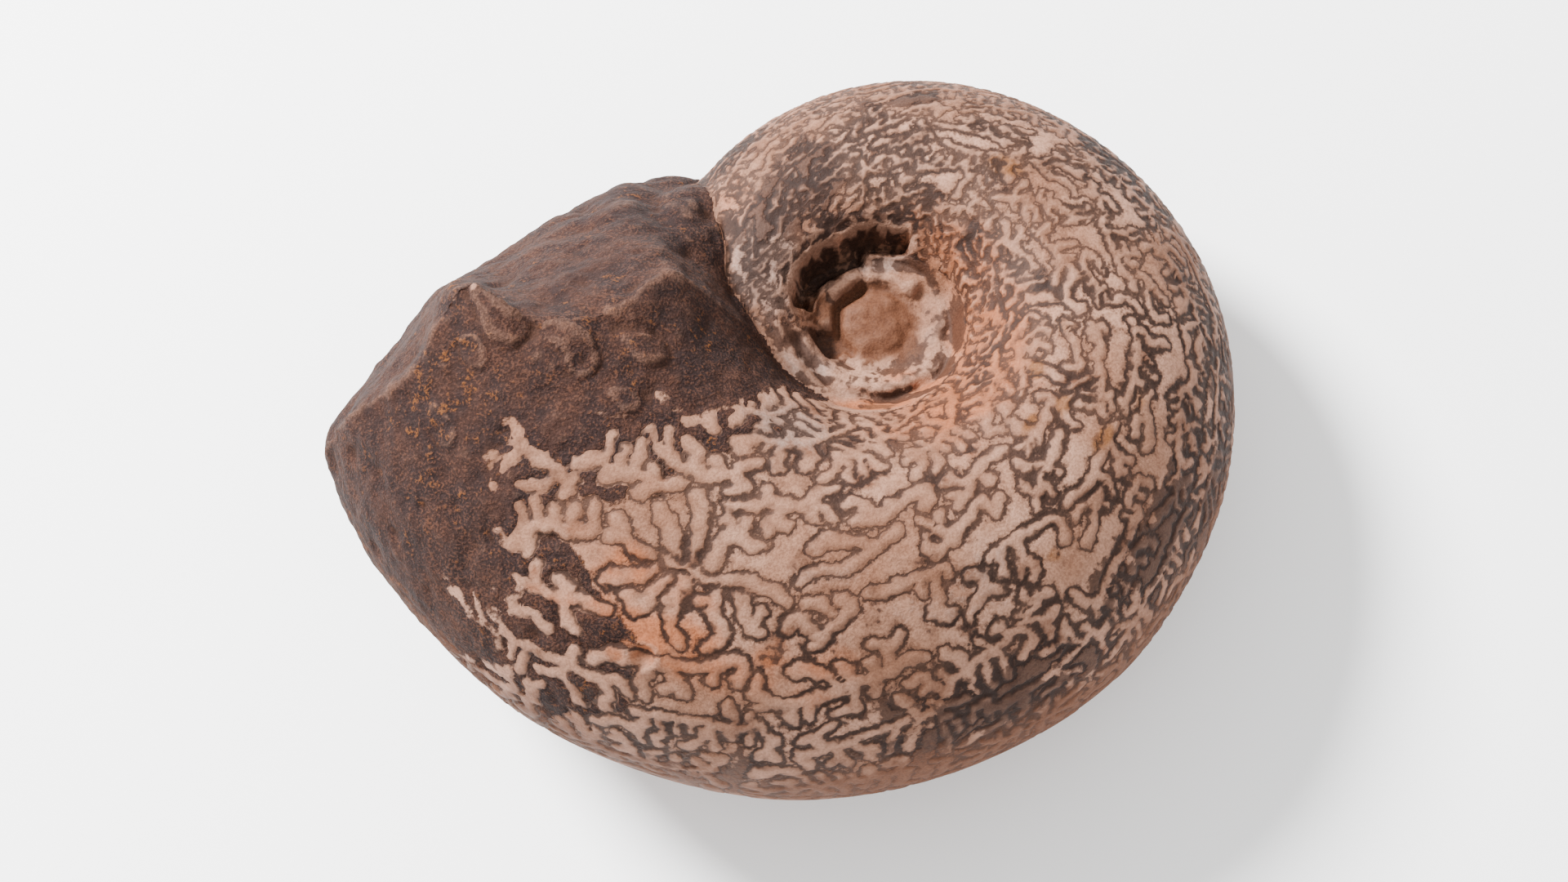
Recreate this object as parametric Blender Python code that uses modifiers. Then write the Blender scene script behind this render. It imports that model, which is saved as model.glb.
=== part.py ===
"""Fossil ammonite, a stone steinkern with a broken last whorl, lying on its flank.

Metres, +Z up, origin at the middle of the bounding box's base. The coil is a tube whose size grows by
a fixed factor each turn. Angles along the coil run clockwise seen from +Z, the way the shell grew.
"""

import math

import bmesh
import bpy
import numpy as np
from mathutils import Euler, Matrix, Vector, noise

# The coil: the keel radius is the one that the tube would have at growth angle 0.
KEEL_RADIUS = 0.0930
WHORL_EXPANSION = 2.664
END_DIRECTION = math.radians(187.1)
TUBE_HALF_HEIGHT = 0.409
TUBE_HALF_WIDTH = 0.420
WIDEST_TOWARDS_COIL = 0.134
TURNS_KEPT = 2.3

# The broken end, as growth angles: a level, and the places around the tube where more is left.
BREAK_LEVEL = math.radians(-20.5)
BREAK_RUN_OUT = math.radians(50.0)
# Each is an angle around the tube, how much further the rim reaches there, and its spread.
BREAK_RIM_RISES = (
    (math.radians(78), math.radians(9), math.radians(11)),
    (math.radians(130), math.radians(11), math.radians(13)),
    (math.radians(-50), math.radians(5), math.radians(16)),
    (math.radians(-112), math.radians(10), math.radians(20)),
)

# The broken face is domed: its ridge leaves the keel and reaches the turn below it here.
RIDGE_END_RADIUS = 0.0385
RIDGE_END_DIRECTION = math.radians(225.5)
RIDGE_BULGE = 0.0106
RIDGE_SKEW = 1.2
# How quickly the face turns from its rim towards the ridge: 1 is straight.
FACE_CROWN = 1.6

# The stub of stone at the break that still clasps the turn below it: centre, half sizes, turns.
NECK_CENTRE = (-0.0308, 0.0085, 0.0105)
NECK_HALF_SIZES = (0.0088, 0.0180, 0.0086)
NECK_TURNS = (math.radians(-24), 0, math.radians(-14))
NECK_SIDES = 32

# Stone fills the innermost turns up to this height on both flanks.
CORE_RADIUS = 0.0084
CORE_HEIGHT = 0.0084
CORE_SIDES = 48

# What wear and breakage left in the umbilicus of the upper flank, in the order it is cut or filled:
# first and last direction in degrees, inner and outer radius, and the level it is brought to.
UMBILICUS_STEPS = (
    ("cut", 60, 152, 0.0100, 0.0134, 0.0060),
    ("fill", 0, 360, 0.0, 0.0054, 0.0091),
    ("fill", 46, 101, 0.0066, 0.0117, 0.0098),
    ("fill", 103, 146, 0.0068, 0.0101, 0.0095),
    ("fill", 152, 181, 0.0072, 0.0112, 0.0092),
    ("cut", 112, 218, 0.0058, 0.0062, 0.0066),
    ("cut", 186, 216, 0.0062, 0.0088, 0.0067),
)
STEP_SOFTNESS = 0.0005
UMBILICUS_RADIUS = 0.0180

# The worn coil isn't perfectly even: broad swells, their height and how far apart they are.
SWELL_HEIGHT = 0.0006
SWELL_SPACING = 0.028

# The broken face and the flank beside it are rough: lumps and pits in this sector of directions.
ROUGH_SECTOR = (148, 176, 222, 228)
ROUGH_FROM_RADIUS = (0.024, 0.030)
ROUGH_HEIGHT = 0.0007
ROUGH_SPACING = 0.0060

# How the fossil lies: tilts that bring its lower flank flat on the ground, and the worn flat.
REST_TILT_X = math.radians(0.45)
REST_TILT_Y = math.radians(8.9)
REST_FLAT_DEPTH = 0.0010

# Mesh resolution.
RINGS = 420
RING_POINTS = 72
BREAK_ROWS = 14
REMESH_SIZE = 0.0009
MERGE_DISTANCE = 0.000001
SHARP_ANGLE = math.radians(40)
TARGET_TRIANGLES = 9000

GROWTH_RATE = math.log(WHORL_EXPANSION) / math.tau


def smooth_step(value, low, high):
    share = min(1.0, max(0.0, (value - low) / (high - low)))
    return share * share * (3 - 2 * share)


def tube_point(growth, around):
    """A point of the coiled tube. around is 0 at the keel, 90 degrees on the upper flank."""
    size = KEEL_RADIUS * math.exp(GROWTH_RATE * growth)
    out = 1 - TUBE_HALF_HEIGHT + TUBE_HALF_HEIGHT * math.cos(around)
    side = TUBE_HALF_WIDTH * math.sin(around) * (1 - WIDEST_TOWARDS_COIL * math.cos(around))
    direction = END_DIRECTION + growth
    return Vector((out * math.cos(direction), -out * math.sin(direction), side)) * size


def break_growth(around):
    """The growth angle at which the tube is broken off, for each line around it."""
    growth = BREAK_LEVEL
    for place, rise, spread in BREAK_RIM_RISES:
        away = math.remainder(around - place, math.tau) / spread
        growth += rise * math.exp(-away * away)
    return growth


def break_ridge(around):
    """The ridge along the middle of the broken face, between the keel and the inner side."""
    keel = tube_point(break_growth(0.0), 0.0)
    end = Vector((math.cos(RIDGE_END_DIRECTION), -math.sin(RIDGE_END_DIRECTION), 0)) * RIDGE_END_RADIUS
    share = abs(math.remainder(around, math.tau)) / math.pi
    along = end - keel
    forward = Vector((-along.y, along.x, 0)).normalized()
    bulge = RIDGE_BULGE * math.sin(math.pi * share ** RIDGE_SKEW)
    return keel + along * (1 - math.cos(math.pi * share)) / 2 + forward * bulge


def ring(row):
    """The points of one ring of the loft. Rows past RINGS close the broken face on its ridge."""
    start = -TURNS_KEPT * math.tau
    points = []
    for index in range(RING_POINTS):
        around = math.tau * index / RING_POINTS
        if row <= RINGS:
            regular = start * (1 - row / RINGS)
            late = max(0.0, 1 + regular / BREAK_RUN_OUT)
            growth = regular + break_growth(around) * late * late * (3 - 2 * late)
            points.append(tube_point(growth, around))
            continue
        share = (row - RINGS) / BREAK_ROWS
        rim = tube_point(break_growth(around), around)
        ridge = break_ridge(around)
        crown = 1 - (1 - share) ** FACE_CROWN
        points.append(Vector((
            rim.x + (ridge.x - rim.x) * crown,
            rim.y + (ridge.y - rim.y) * crown,
            rim.z * (1 - share),
        )))
    return points


def coil_mesh():
    bm = bmesh.new()
    rows = [[bm.verts.new(point) for point in ring(row)] for row in range(RINGS + BREAK_ROWS + 1)]
    for lower, upper in zip(rows, rows[1:]):
        for index in range(RING_POINTS):
            after = (index + 1) % RING_POINTS
            bm.faces.new((lower[index], lower[after], upper[after], upper[index]))
    bm.faces.new(reversed(rows[0]))
    bmesh.ops.remove_doubles(bm, verts=bm.verts, dist=MERGE_DISTANCE)
    bmesh.ops.recalc_face_normals(bm, faces=bm.faces)
    core = Matrix.Diagonal((CORE_RADIUS, CORE_RADIUS, 2 * CORE_HEIGHT, 1))
    bmesh.ops.create_cone(bm, cap_ends=True, segments=CORE_SIDES, radius1=1, radius2=1, depth=1, matrix=core)
    neck = Matrix.LocRotScale(Vector(NECK_CENTRE), Euler(NECK_TURNS), Vector(NECK_HALF_SIZES))
    bmesh.ops.create_uvsphere(bm, u_segments=NECK_SIDES, v_segments=NECK_SIDES // 2, radius=1, matrix=neck)
    mesh = bpy.data.meshes.new("coil")
    bm.to_mesh(mesh)
    bm.free()
    return mesh


def evaluated_copy(holder):
    bpy.context.view_layer.update()
    return bpy.data.meshes.new_from_object(holder.evaluated_get(bpy.context.evaluated_depsgraph_get()))


def fused(mesh):
    """The overlapping turns as one closed surface."""
    holder = bpy.data.objects.new("coil", mesh)
    bpy.context.scene.collection.objects.link(holder)
    remesh = holder.modifiers.new("fuse", "REMESH")
    remesh.mode = "VOXEL"
    remesh.voxel_size = REMESH_SIZE
    dense = evaluated_copy(holder)
    bpy.data.objects.remove(holder)
    return dense


def lightened(mesh):
    """The surface with as few triangles as its form needs."""
    holder = bpy.data.objects.new("coil", mesh)
    bpy.context.scene.collection.objects.link(holder)
    decimate = holder.modifiers.new("lighten", "DECIMATE")
    decimate.ratio = min(1.0, TARGET_TRIANGLES / (2 * len(mesh.polygons)))
    decimate.use_collapse_triangulate = True
    light = evaluated_copy(holder)
    bpy.data.objects.remove(holder)
    return light


def arc_share(point, first, last, inner, outer):
    """1 inside a stretch of a ring around the coil's axis, falling softly to 0 past its edges."""
    radius = math.hypot(point.x, point.y)
    share = 1 - smooth_step(radius, outer - STEP_SOFTNESS, outer + STEP_SOFTNESS)
    if inner > 0:
        share *= smooth_step(radius, inner - STEP_SOFTNESS, inner + STEP_SOFTNESS)
    if last - first < 360:
        direction = math.degrees(math.atan2(point.y, point.x)) % 360
        softness = math.degrees(STEP_SOFTNESS / max(radius, STEP_SOFTNESS))
        share *= smooth_step(direction, first - softness, first + softness)
        share *= 1 - smooth_step(direction, last - softness, last + softness)
    return share


def stepped(point):
    """The height of a point of the umbilicus, with its ledges and hollows."""
    height = point.z
    for kind, first, last, inner, outer, level in UMBILICUS_STEPS:
        change = level - height
        wanted = change > 0 if kind == "fill" else change < 0
        if wanted:
            height += change * arc_share(point, first, last, inner, outer)
    return height


def roughness(point):
    """Height of the lumps of the broken stone at a point."""
    direction = math.degrees(math.atan2(-point.y, point.x)) % 360
    begin, full, fade, end = ROUGH_SECTOR
    share = smooth_step(direction, begin, full) * (1 - smooth_step(direction, fade, end))
    share *= smooth_step(math.hypot(point.x, point.y), *ROUGH_FROM_RADIUS)
    return share * ROUGH_HEIGHT * noise.noise(point / ROUGH_SPACING)


def worn(mesh):
    """Gives the fused coil its swells, and the ledges and hollows of the umbilicus."""
    normals = [vertex.normal.copy() for vertex in mesh.vertices]
    for vertex, normal in zip(mesh.vertices, normals):
        point = vertex.co.copy()
        relief = SWELL_HEIGHT * noise.noise(point / SWELL_SPACING) + roughness(point)
        if point.z > 0 and math.hypot(point.x, point.y) < UMBILICUS_RADIUS:
            point.z = stepped(point)
        vertex.co = point + normal * relief


def laid_down(mesh):
    """Tilts the coil to how it lies, wears a flat where it rests, and centres it on the origin."""
    mesh.transform(Matrix.Rotation(REST_TILT_Y, 4, "Y") @ Matrix.Rotation(REST_TILT_X, 4, "X"))
    points = np.array([vertex.co for vertex in mesh.vertices])
    low = points.min(axis=0)
    high = points.max(axis=0)
    base = Vector(((low[0] + high[0]) / 2, (low[1] + high[1]) / 2, low[2] + REST_FLAT_DEPTH))
    mesh.transform(Matrix.Translation(-base))
    bm = bmesh.new()
    bm.from_mesh(mesh)
    everything = bm.verts[:] + bm.edges[:] + bm.faces[:]
    bmesh.ops.bisect_plane(bm, geom=everything, plane_no=(0, 0, -1), clear_outer=True)
    rim = [edge for edge in bm.edges if edge.is_boundary]
    bmesh.ops.holes_fill(bm, edges=rim)
    bmesh.ops.triangulate(bm, faces=bm.faces[:])
    bmesh.ops.recalc_face_normals(bm, faces=bm.faces[:])
    bm.to_mesh(mesh)
    bm.free()


def stone_material():
    material = bpy.data.materials.new("fossil_stone")
    material.use_nodes = True
    shader = material.node_tree.nodes["Principled BSDF"]
    shader.inputs["Base Color"].default_value = (0.42, 0.24, 0.16, 1)
    shader.inputs["Roughness"].default_value = 0.75
    shader.inputs["Metallic"].default_value = 0.0
    return material


def main():
    for old in list(bpy.data.objects):
        bpy.data.objects.remove(old)
    mesh = fused(coil_mesh())
    worn(mesh)
    mesh = lightened(mesh)
    laid_down(mesh)
    mesh.name = "ammonite"
    mesh.materials.append(stone_material())
    mesh.shade_smooth()
    mesh.set_sharp_from_angle(angle=SHARP_ANGLE)
    group = bpy.data.collections.new("Ammonite")
    bpy.context.scene.collection.children.link(group)
    group.objects.link(bpy.data.objects.new("ammonite", mesh))


main()
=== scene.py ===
import math

import bmesh
import bpy
import numpy as np
from mathutils import Matrix, Vector, noise


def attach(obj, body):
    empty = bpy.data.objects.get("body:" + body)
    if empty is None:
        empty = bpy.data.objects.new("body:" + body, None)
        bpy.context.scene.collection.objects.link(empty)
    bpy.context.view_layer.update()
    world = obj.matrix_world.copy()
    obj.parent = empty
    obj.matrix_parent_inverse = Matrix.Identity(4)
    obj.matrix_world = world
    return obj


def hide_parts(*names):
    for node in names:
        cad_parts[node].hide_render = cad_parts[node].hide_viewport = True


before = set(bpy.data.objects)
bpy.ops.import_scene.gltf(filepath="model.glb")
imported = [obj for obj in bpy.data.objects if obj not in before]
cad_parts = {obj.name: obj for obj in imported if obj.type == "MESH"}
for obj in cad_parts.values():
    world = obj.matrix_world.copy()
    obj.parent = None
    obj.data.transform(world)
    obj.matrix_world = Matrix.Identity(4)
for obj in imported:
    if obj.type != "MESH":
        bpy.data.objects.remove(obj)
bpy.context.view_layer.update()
noise.seed_set(7)  # without it the noise vectors differ from run to run

# The coil, in metres and degrees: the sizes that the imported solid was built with.
coil = {
    "keelRadius": 0.0930,
    "expansion": 2.664,
    "endDirection": 187.1,
    "halfHeight": 0.409,
    "halfWidth": 0.420,
    "widestTowardsCoil": 0.134,
    "turnsKept": 2.3,
    "breakLevel": -20.5,
    "breakRunOut": 50.0,
    "rimRises": ((78, 9, 11), (130, 11, 13), (-50, 5, 16), (-112, 10, 20)),  # place, rise, spread
    "ridgeEnd": (0.0385, 225.5),  # radius, direction
    "ridgeBulge": 0.0106,
    "ridgeSkew": 1.2,
    "faceCrown": 1.6,
    "neckCentre": (-0.0308, 0.0085, 0.0105),
    "neckHalfSizes": (0.0088, 0.0180, 0.0086),
    "neckTurns": (-24, 0, -14),
    "coreRadius": 0.0084,
    "coreHeight": 0.0084,
    "rings": 420,
    "ringPoints": 96,
    "breakRows": 14,
    "weldReach": 0.000002,
    "coreSides": 48,
    "neckSegments": (32, 16),
    "remeshSize": 0.00122,
    "turnsSearched": 3,
    "settlingPasses": 6,
    "tiltX": 0.45,
    "tiltY": 8.9,
    "flatDepth": 0.0010,
}
growthRate = math.log(coil["expansion"]) / math.tau
mm = 0.001


class Term:
    # One socket of a node tree. Arithmetic on it adds Math nodes, so formulas read as formulas.
    def __init__(self, tree, socket):
        self.tree = tree
        self.socket = socket

    def node(self, operation, *values):
        return addNode(self.tree, "ShaderNodeMath", {"operation": operation}, list(values))

    def __radd__(self, other):
        return self.node("ADD", other, self)

    def __rsub__(self, other):
        return self.node("SUBTRACT", other, self)

    def __neg__(self):
        return self.node("MULTIPLY", self, -1)

    def wrapped(self, low, high):
        return self.node("WRAP", self, high, low)


def termMethod(operation):
    return lambda self, *others: self.node(operation, self, *others)


for method, operation in {
        "__add__": "ADD", "__sub__": "SUBTRACT", "__mul__": "MULTIPLY", "__truediv__": "DIVIDE",
        "__pow__": "POWER", "__abs__": "ABSOLUTE", "sine": "SINE", "cosine": "COSINE",
        "exponential": "EXPONENT", "atLeast": "MAXIMUM", "atMost": "MINIMUM"}.items():
    setattr(Term, method, termMethod(operation))


def addNode(tree, kind, settings=None, inputs=None, output=0):
    node = tree.nodes.new(kind)
    for name, value in (settings or {}).items():
        setattr(node, name, value)
    pairs = inputs.items() if isinstance(inputs, dict) else enumerate(inputs or [])
    for key, value in pairs:
        if isinstance(value, Term):
            tree.links.new(value.socket, node.inputs[key])
        else:
            node.inputs[key].default_value = value
    return Term(tree, node.outputs[output])


def newObject(name, data):
    holder = bpy.data.objects.new(name, data)
    bpy.context.scene.collection.objects.link(holder)
    return holder


def smoothStep(value, low, high):
    share = np.clip((value - low) / (high - low), 0, 1)
    return share * share * (3 - 2 * share)


# The coil by Geometry Nodes: a grid whose two directions are the way along the tube and round it.
def tubePoint(sizes, growth, around, opening=1.0):
    size = (growth * growthRate).exponential() * sizes["keelRadius"]
    bulge = around.cosine()
    height = sizes["halfHeight"]
    out = 1 - height + bulge * height * opening
    side = around.sine() * sizes["halfWidth"] * (1 - bulge * coil["widestTowardsCoil"]) * opening
    direction = growth + math.radians(coil["endDirection"])
    return direction.cosine() * out * size, -direction.sine() * out * size, side * size


def breakGrowth(around):
    growth = around * 0 + math.radians(coil["breakLevel"])
    for place, rise, spread in coil["rimRises"]:
        away = (around - math.radians(place)).wrapped(-math.pi, math.pi) / math.radians(spread)
        growth = growth + (-(away * away)).exponential() * math.radians(rise)
    return growth


def breakRidge(sizes, around):
    noTurn = around * 0
    keelX, keelY, keelZ = tubePoint(sizes, breakGrowth(noTurn), noTurn)
    radius, direction = coil["ridgeEnd"]
    alongX = radius * math.cos(math.radians(direction)) - keelX
    alongY = -radius * math.sin(math.radians(direction)) - keelY
    length = (alongX * alongX + alongY * alongY) ** 0.5
    share = abs(around.wrapped(-math.pi, math.pi)) / math.pi
    along = (1 - (share * math.pi).cosine()) / 2
    bulge = (share ** coil["ridgeSkew"] * math.pi).sine() * coil["ridgeBulge"] / length
    return keelX + alongX * along - alongY * bulge, keelY + alongY * along + alongX * bulge


def coilTree():
    tree = bpy.data.node_groups.new("coil", "GeometryNodeTree")
    tree.interface.new_socket("Geometry", in_out="INPUT", socket_type="NodeSocketGeometry")
    sockets = {}
    labels = {"keelRadius": "Keel radius", "halfHeight": "Half height", "halfWidth": "Half width"}
    for key, label in labels.items():
        socket = tree.interface.new_socket(label, in_out="INPUT", socket_type="NodeSocketFloat")
        socket.default_value = coil[key]
        sockets[key] = socket.identifier
    tree.interface.new_socket("Geometry", in_out="OUTPUT", socket_type="NodeSocketGeometry")
    inward = tree.nodes.new("NodeGroupInput")
    sizes = {key: Term(tree, inward.outputs[i + 1]) for i, key in enumerate(sockets)}

    rowCount = coil["rings"] + coil["breakRows"]
    grid = addNode(tree, "GeometryNodeMeshGrid", {}, {
        "Size X": 1.0, "Size Y": 1.0, "Vertices X": rowCount + 1, "Vertices Y": coil["ringPoints"] + 1})
    place = addNode(tree, "GeometryNodeInputPosition")
    gridX = addNode(tree, "ShaderNodeSeparateXYZ", {}, [place], 0)
    gridY = addNode(tree, "ShaderNodeSeparateXYZ", {}, [place], 1)
    row = (gridX + 0.5) * rowCount
    around = (gridY + 0.5) * math.tau
    start = -coil["turnsKept"] * math.tau
    regular = (1 - (row / coil["rings"]).atMost(1)) * start
    late = (regular / math.radians(coil["breakRunOut"]) + 1).atLeast(0)
    growth = regular + breakGrowth(around) * late * late * (3 - late * 2)
    rimX, rimY, rimZ = tubePoint(sizes, growth, around, row.atMost(1))
    ridgeX, ridgeY = breakRidge(sizes, around)
    share = ((row - coil["rings"]) / coil["breakRows"]).atLeast(0)
    crown = 1 - (1 - share) ** coil["faceCrown"]
    point = addNode(tree, "ShaderNodeCombineXYZ", {}, [
        rimX + (ridgeX - rimX) * crown, rimY + (ridgeY - rimY) * crown, rimZ * (1 - share)])
    placed = addNode(tree, "GeometryNodeSetPosition", {}, {"Geometry": grid, "Position": point})
    welded = addNode(tree, "GeometryNodeMergeByDistance", {}, {
        "Geometry": placed, "Distance": coil["weldReach"]})

    core = addNode(tree, "GeometryNodeMeshCylinder", {}, {
        "Vertices": coil["coreSides"], "Radius": coil["coreRadius"], "Depth": 2 * coil["coreHeight"]})
    segments, rings = coil["neckSegments"]
    ball = addNode(tree, "GeometryNodeMeshUVSphere", {}, {
        "Segments": segments, "Rings": rings, "Radius": 1.0})
    neck = addNode(tree, "GeometryNodeTransform", {}, {
        "Geometry": ball, "Translation": coil["neckCentre"],
        "Rotation": [math.radians(turn) for turn in coil["neckTurns"]], "Scale": coil["neckHalfSizes"]})
    joined = tree.nodes.new("GeometryNodeJoinGeometry")
    for part in (welded, core, neck):
        tree.links.new(part.socket, joined.inputs[0])
    real = addNode(tree, "GeometryNodeRealizeInstances", {}, [Term(tree, joined.outputs[0])])
    finished = addNode(tree, "GeometryNodeSetMaterial", {}, {
        "Geometry": real, "Material": bpy.data.materials["fossilStone"]})
    outward = tree.nodes.new("NodeGroupOutput")
    tree.links.new(finished.socket, outward.inputs[0])
    return tree, sockets


def bakedCoil():
    # The tree's result, its overlapping turns fused into one closed surface.
    tree, sockets = coilTree()
    holder = newObject("coilHolder", bpy.data.meshes.new("coilHolder"))
    nodes = holder.modifiers.new("coil", "NODES")
    nodes.node_group = tree
    for key, identifier in sockets.items():
        nodes[identifier] = coil[key]
    remesh = holder.modifiers.new("fuse", "REMESH")
    remesh.mode = "VOXEL"
    remesh.voxel_size = coil["remeshSize"]
    bpy.context.view_layer.update()
    mesh = bpy.data.meshes.new_from_object(holder.evaluated_get(bpy.context.evaluated_depsgraph_get()))
    holder.modifiers.clear()
    bpy.data.objects.remove(holder)
    return mesh


def arrayOf(collection, key):
    values = np.empty(len(collection) * 3, np.float32)
    collection.foreach_get(key, values)
    return values.reshape(-1, 3).astype(float)


def setVertices(mesh, points):
    mesh.vertices.foreach_set("co", points.astype(np.float32).ravel())
    mesh.update()


# The photograph's camera, in the coil's own frame.
camera = {
    "azimuth": 0.1037,
    "elevation": -19.1996,
    "distance": 4.3596,  # in keel radii, as the shifts are
    "shiftRight": -0.1514,
    "shiftUp": -0.1654,
    "lens": 58.699,
    "clip": (0.01, 10),
    "facing": -0.05,  # faces turned away more than this keep the coarse mesh
}


def restTurn():
    # From the coil's own frame to how it lies.
    tiltX = Matrix.Rotation(math.radians(coil["tiltX"]), 4, "X")
    tiltY = Matrix.Rotation(math.radians(coil["tiltY"]), 4, "Y")
    return tiltY @ tiltX


def cameraInCoil():
    azimuth = math.radians(camera["azimuth"])
    elevation = math.radians(camera["elevation"])
    back = Vector((math.sin(azimuth) * math.cos(elevation), -math.cos(azimuth) * math.cos(elevation),
                   math.sin(elevation)))
    right = Vector((math.cos(azimuth), math.sin(azimuth), 0))
    up = back.cross(right)
    place = right * camera["shiftRight"] + up * camera["shiftUp"] + back * camera["distance"]
    place *= coil["keelRadius"]
    return [Vector((v.x, v.z, -v.y)) for v in (right, up, back, place)]


def refine(mesh, towardsCamera):
    # Twice the resolution where the photograph looks.
    normals = arrayOf(mesh.vertex_normals, "vector")
    facing = normals @ np.array(towardsCamera)
    bm = bmesh.new()
    bm.from_mesh(mesh)
    bm.verts.ensure_lookup_table()
    seen = set()
    for face in bm.faces:
        if sum(facing[vert.index] for vert in face.verts) / len(face.verts) > camera["facing"]:
            seen.update(face.edges)
    bmesh.ops.subdivide_edges(bm, edges=list(seen), cuts=1, use_grid_fill=True)
    bm.to_mesh(mesh)
    bm.free()


def breakGrowthArray(around):
    growth = np.full(around.shape, math.radians(coil["breakLevel"]))
    for place, rise, spread in coil["rimRises"]:
        away = np.remainder(around - math.radians(place) + math.pi, math.tau) - math.pi
        growth = growth + math.radians(rise) * np.exp(-(away / math.radians(spread)) ** 2)
    return growth


def tubePlace(points):
    # For each point: its growth angle and its place round the tube, in degrees, how far outside the
    # nearest turn it lies, how far the next one is, and that turn's surface point.
    halfHeight = coil["halfHeight"]
    halfWidth = coil["halfWidth"]
    leaning = coil["widestTowardsCoil"]
    radius = np.hypot(points[:, 0], points[:, 1])
    direction = np.arctan2(-points[:, 1], points[:, 0])
    first = np.mod(direction - math.radians(coil["endDirection"]), math.tau) - math.tau
    found = []
    for turn in range(coil["turnsSearched"]):
        growth = first - math.tau * turn
        size = coil["keelRadius"] * np.exp(growthRate * growth)
        outward = radius / size - (1 - halfHeight)
        sideways = points[:, 2] / size
        around = np.arctan2(sideways / halfWidth, outward / halfHeight)
        for again in range(coil["settlingPasses"]):
            wide = halfWidth * (1 - leaning * np.cos(around))
            around = np.arctan2(sideways / wide, outward / halfHeight)
        wide = halfWidth * (1 - leaning * np.cos(around))
        away = (np.hypot(outward / halfHeight, sideways / wide) - 1) * halfHeight * size
        if turn == 0:
            away = np.where(growth > breakGrowthArray(around), 1.0, away)
        out = 1 - halfHeight + halfHeight * np.cos(around)
        surface = np.stack([out * np.cos(direction) * size, -out * np.sin(direction) * size,
                            wide * np.sin(around) * size], axis=1)
        found.append((away, np.degrees(growth), np.degrees(around), surface))
    aways, growths, arounds, surfaces = (np.stack(values) for values in zip(*found))
    order = np.argsort(aways, axis=0)
    index = np.arange(len(points))
    nearest = (order[0], index)
    return growths[nearest], arounds[nearest], aways[nearest], aways[order[1], index], surfaces[nearest]


# What wear and breakage left in the umbilicus: first and last direction in degrees, inner and outer
# radius, and the level that it is cut or filled to.
umbilicus = {
    "steps": (
        ("cut", 98, 168, 0.0100, 0.0130, 0.0066),
        ("cut", 66, 108, 0.0114, 0.0130, 0.0078),
        ("fill", 0, 360, 0.0, 0.0054, 0.0089),
        ("fill", 40, 103, 0.0068, 0.0117, 0.0098),
        ("fill", 103, 146, 0.0070, 0.0103, 0.0095),
        ("fill", 154, 184, 0.0068, 0.0112, 0.0090),
        ("cut", 100, 240, 0.0055, 0.0066, 0.0064),
        ("cut", 188, 220, 0.0062, 0.0098, 0.0064),
        ("add", 0, 360, 0.0050, 0.0060, -0.0005),
        ("add", 0, 360, 0.0, 0.0036, 0.0003),
        ("add", 196, 392, 0.0122, 0.0136, -0.0011),
        ("add", 205, 395, 0.0142, 0.0152, 0.0004),
        ("add", 250, 400, 0.0066, 0.0116, 0.0004),
        ("add", 120, 200, 0.0150, 0.0156, 0.0004),
    ),
    "softness": 0.0008,
    "radius": 0.0180,
    "ragged": ((0.0011, 0.0060), (0.0005, 0.0022)),  # how far the steps' edges wander, over what spacing
    "uneven": ((0.0005, 0.0030), (0.00025, 0.0014)),  # the same of their height
    "slack": 60,  # degrees before a step's first direction that still count as before it
}

# Broad swells of the worn coil and the lumps of the broken face: height, spacing, where.
wear = {
    "swellHeight": 0.0006,
    "swellSpacing": 0.028,
    "roughSector": (148, 176, 222, 228),
    "roughFrom": (0.024, 0.030),
    "roughHeight": 0.0007,
    "roughSpacing": 0.0060,
    "pit": (-66, 50, 0.019),  # growth, around and radius as a share of the size
    "pitDepth": 1.0,  # mm, as all below but the spacings
    "pitRim": (0.3, 1.5, 0.4),  # height, and in pit radii where it is and how wide
    "brokenSpacing": 0.0048,
    "brokenHeight": 0.35,
    "grittySpacing": 0.0017,
    "grittyHeight": 0.22,
    "pitted": (0.25, 1.2),  # below which noise the broken stone is pitted, and how deep
    "plateEdge": (0.78, 1.0, 0.7),  # where a plate begins to fall and ends, and how ragged
    "hollowPasses": 5,
}


def noiseAt(points, spacing, shift=0.0):
    return np.array([noise.noise(Vector(point) / spacing) for point in points + shift])


def noiseVectorsAt(points, spacing):
    return np.array([noise.noise_vector(Vector(point) / spacing) for point in points])


def arcShare(points, first, last, inner, outer):
    soft = umbilicus["softness"]
    radius = np.hypot(points[:, 0], points[:, 1])
    share = 1 - smoothStep(radius, outer - soft, outer + soft)
    if inner > 0:
        share *= smoothStep(radius, inner - soft, inner + soft)
    if last - first < 360:
        start = first - umbilicus["slack"]
        direction = (np.degrees(np.arctan2(points[:, 1], points[:, 0])) - start) % 360 + start
        softness = np.degrees(soft / np.maximum(radius, soft))
        share *= smoothStep(direction, first - softness, first + softness)
        share *= 1 - smoothStep(direction, last - softness, last + softness)
    return share


def stepped(points):
    flat = points * (1, 1, 0)
    ragged = points.copy()
    for size, spacing in umbilicus["ragged"]:
        ragged += size * noiseVectorsAt(flat, spacing)
    (broadSize, broadSpacing), (fineSize, fineSpacing) = umbilicus["uneven"]
    uneven = broadSize * noiseAt(flat, broadSpacing, 0.3)
    height = points[:, 2].copy()
    for kind, first, last, inner, outer, level in umbilicus["steps"]:
        if kind == "add":
            height += level * arcShare(ragged, first, last, inner, outer)
            continue
        change = level + uneven - height
        wanted = change > 0 if kind == "fill" else change < 0
        height += np.where(wanted, change * arcShare(ragged, first, last, inner, outer), 0)
    return height + fineSize * noiseAt(flat, fineSpacing, 0.7)


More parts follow.
